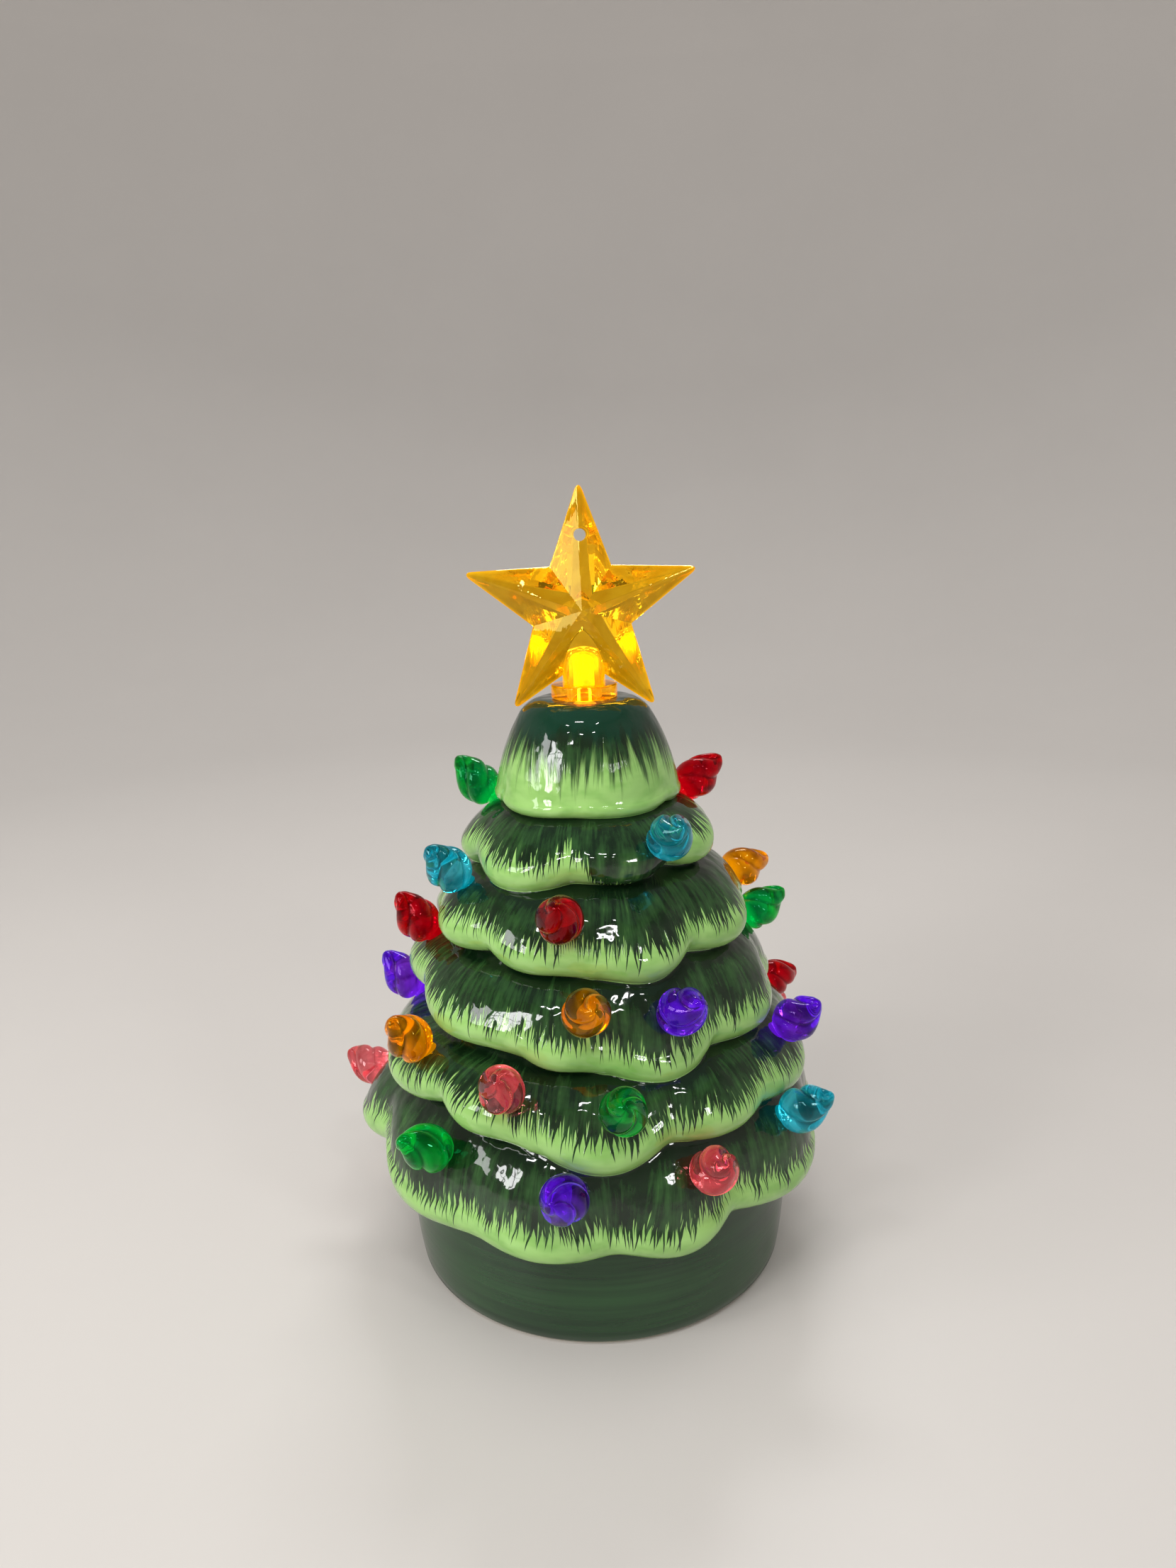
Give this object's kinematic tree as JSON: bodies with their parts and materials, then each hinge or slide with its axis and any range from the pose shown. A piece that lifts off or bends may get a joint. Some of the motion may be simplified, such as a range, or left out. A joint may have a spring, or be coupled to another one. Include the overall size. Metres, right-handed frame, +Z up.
{
  "type": "ceramic christmas tree",
  "caption": "Glazed ceramic Christmas tree lamp in scalloped tiers with twisted coloured bulbs, a plug-on star and a battery base with door and slide switch.",
  "frame": {"origin": "centre of the foot ring, on the surface the tree stands on", "axes": "+Z up the tree's axis; -Y towards the front, the side that the star faces; +X to the right as seen from the front"},
  "size_m": [0.119, 0.1242, 0.1783],
  "materials": {
    "glazed_ceramic": "hand-painted two-tone green under a clear gloss glaze",
    "amber_plastic": "clear amber moulding",
    "led_clear": "clear domed lamp",
    "lead_insulation": "flexible wire sleeve",
    "base_plastic": "fine moulded texture",
    "cell_sleeve": "shrink sleeve on a steel can",
    "contact_metal": "nickel plated",
    "board_laminate": "solder mask",
    "screw_steel": "zinc plated",
    "chip_plastic": "moulded",
    "switch_metal": "tinned can",
    "slider_plastic": "moulded",
    "bulb_green": "clear tinted",
    "bulb_red": "clear tinted",
    "bulb_teal": "clear tinted",
    "bulb_amber": "clear tinted",
    "bulb_purple": "clear tinted",
    "bulb_pink": "clear tinted"
  },
  "bodies": {
    "tree": {"battery_1": "cell_sleeve", "battery_2": "cell_sleeve", "battery_3": "cell_sleeve", "battery_housing": "base_plastic", "battery_leads": "lead_insulation", "board_resistor": "chip_plastic", "board_screws": "screw_steel", "bulb_01_green": "bulb_green", "bulb_02_teal": "bulb_teal", "bulb_03_red": "bulb_red", "bulb_04_purple": "bulb_purple", "bulb_05_amber": "bulb_amber", "bulb_06_teal": "bulb_teal", "bulb_07_red": "bulb_red", "bulb_08_amber": "bulb_amber", "bulb_09_green": "bulb_green", "bulb_10_pink": "bulb_pink", "bulb_11_red": "bulb_red", "bulb_12_amber": "bulb_amber", "bulb_13_purple": "bulb_purple", "bulb_14_green": "bulb_green", "bulb_15_pink": "bulb_pink", "bulb_16_teal": "bulb_teal", "bulb_17_purple": "bulb_purple", "bulb_18_amber": "bulb_amber", "bulb_19_pink": "bulb_pink", "bulb_20_green": "bulb_green", "bulb_21_purple": "bulb_purple", "bulb_22_red": "bulb_red", "bulb_23_amber": "bulb_amber", "bulb_24_teal": "bulb_teal", "bulb_25_red": "bulb_red", "bulb_26_pink": "bulb_pink", "bulb_27_green": "bulb_green", "bulb_28_purple": "bulb_purple", "bulb_29_pink": "bulb_pink", "bulb_30_teal": "bulb_teal", "bulb_31_pink": "bulb_pink", "bulb_32_purple": "bulb_purple", "bulb_33_green": "bulb_green", "bulb_34_amber": "bulb_amber", "ceramic_tree": "glazed_ceramic", "contact_plates": "contact_metal", "contact_springs": "contact_metal", "lamp_board": "board_laminate", "star_leads": "lead_insulation", "star_led": "led_clear", "switch_case": "switch_metal", "switch_leads": "lead_insulation", "timer_chip": "chip_plastic", "tree_led_1": "led_clear", "tree_led_2": "led_clear", "tree_led_3": "led_clear"},
    "stem": {"star_stem": "amber_plastic"},
    "star": {"star_topper": "amber_plastic"},
    "door": {"battery_door": "base_plastic"},
    "slider": {"switch_slider": "slider_plastic"}
  },
  "joints": [
    {"name": "star_turn", "type": "hinge", "parent": "tree", "child": "stem", "pos_m": [0, 0, 0.133], "axis": [0, 0, 1], "continuous": true},
    {"name": "star_pull", "type": "slide", "parent": "stem", "child": "star", "axis": [0, 0, 1], "range_m": [0, 0.012]},
    {"name": "door_hinge", "type": "hinge", "parent": "tree", "child": "door", "pos_m": [0, 0.01705, 0.0033], "axis": [1, 0, 0], "range_deg": [0, 95]},
    {"name": "switch_slide", "type": "slide", "parent": "tree", "child": "slider", "axis": [1, 0, 0], "range_m": [0, 0.003]}
  ]
}
